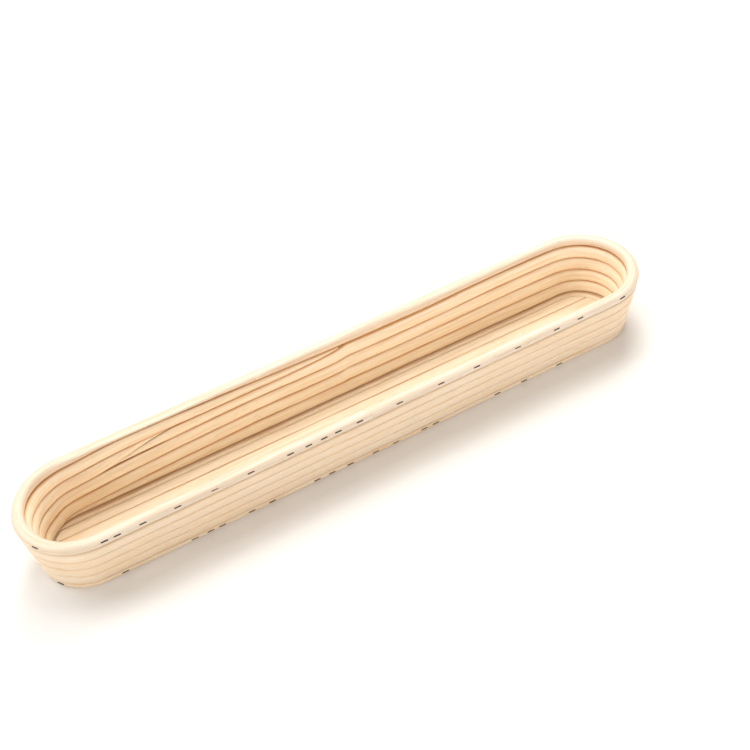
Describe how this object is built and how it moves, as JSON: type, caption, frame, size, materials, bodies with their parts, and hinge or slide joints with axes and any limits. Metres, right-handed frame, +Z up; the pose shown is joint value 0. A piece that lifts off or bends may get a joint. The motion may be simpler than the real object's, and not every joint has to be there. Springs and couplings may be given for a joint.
{
  "type": "banneton basket",
  "caption": "Long narrow bread proofing basket with round ends and a flared wall of coiled rattan cane over a flat strip floor.",
  "frame": {"origin": "middle of the underside of the basket, at the centre of its bounding box", "axes": "+X along the length, towards the end without the extra part turn of cane; +Y across the width; +Z up out of the open top"},
  "size_m": [0.5, 0.09, 0.053],
  "materials": {
    "rim_cane": "smooth peeled rattan, pale cream, faint fibre lines, low sheen",
    "wall_cane": "peeled rattan, rounded and warm inside, sanded flatter and paler outside, brown in the joints",
    "floor_cane": "peeled rattan strip, pale, fine lengthwise fibre",
    "base_cane": "peeled rattan, pale, sanded",
    "staple_wire": "dark drawn steel wire, dull"
  },
  "bodies": {
    "root": {"base_ring": "base_cane", "base_staple_01": "staple_wire", "base_staple_02": "staple_wire", "base_staple_03": "staple_wire", "base_staple_04": "staple_wire", "base_staple_05": "staple_wire", "base_staple_06": "staple_wire", "base_staple_07": "staple_wire", "base_staple_08": "staple_wire", "base_staple_09": "staple_wire", "base_staple_10": "staple_wire", "base_staple_11": "staple_wire", "base_staple_12": "staple_wire", "base_staple_13": "staple_wire", "base_staple_14": "staple_wire", "base_staple_15": "staple_wire", "base_staple_16": "staple_wire", "base_staple_17": "staple_wire", "floor_strip_1": "floor_cane", "floor_strip_2": "floor_cane", "floor_strip_3": "floor_cane", "floor_strip_4": "floor_cane", "floor_strip_5": "floor_cane", "rim_cane_left": "rim_cane", "rim_cane_right": "rim_cane", "rim_staple_01": "staple_wire", "rim_staple_02": "staple_wire", "rim_staple_03": "staple_wire", "rim_staple_04": "staple_wire", "rim_staple_05": "staple_wire", "rim_staple_06": "staple_wire", "rim_staple_07": "staple_wire", "rim_staple_08": "staple_wire", "rim_staple_09": "staple_wire", "rim_staple_10": "staple_wire", "rim_staple_11": "staple_wire", "rim_staple_12": "staple_wire", "rim_staple_13": "staple_wire", "rim_staple_14": "staple_wire", "rim_staple_15": "staple_wire", "rim_staple_16": "staple_wire", "rim_staple_17": "staple_wire", "rim_staple_18": "staple_wire", "rim_staple_19": "staple_wire", "rim_staple_20": "staple_wire", "rim_staple_21": "staple_wire", "rim_staple_22": "staple_wire", "rim_staple_23": "staple_wire", "rim_staple_24": "staple_wire", "rim_staple_25": "staple_wire", "rim_staple_26": "staple_wire", "rim_staple_27": "staple_wire", "rim_staple_28": "staple_wire", "rim_staple_29": "staple_wire", "rim_staple_30": "staple_wire", "rim_staple_31": "staple_wire", "rim_staple_32": "staple_wire", "rim_staple_33": "staple_wire", "wall_cane_lower": "wall_cane", "wall_cane_upper": "wall_cane"}
  },
  "joints": []
}
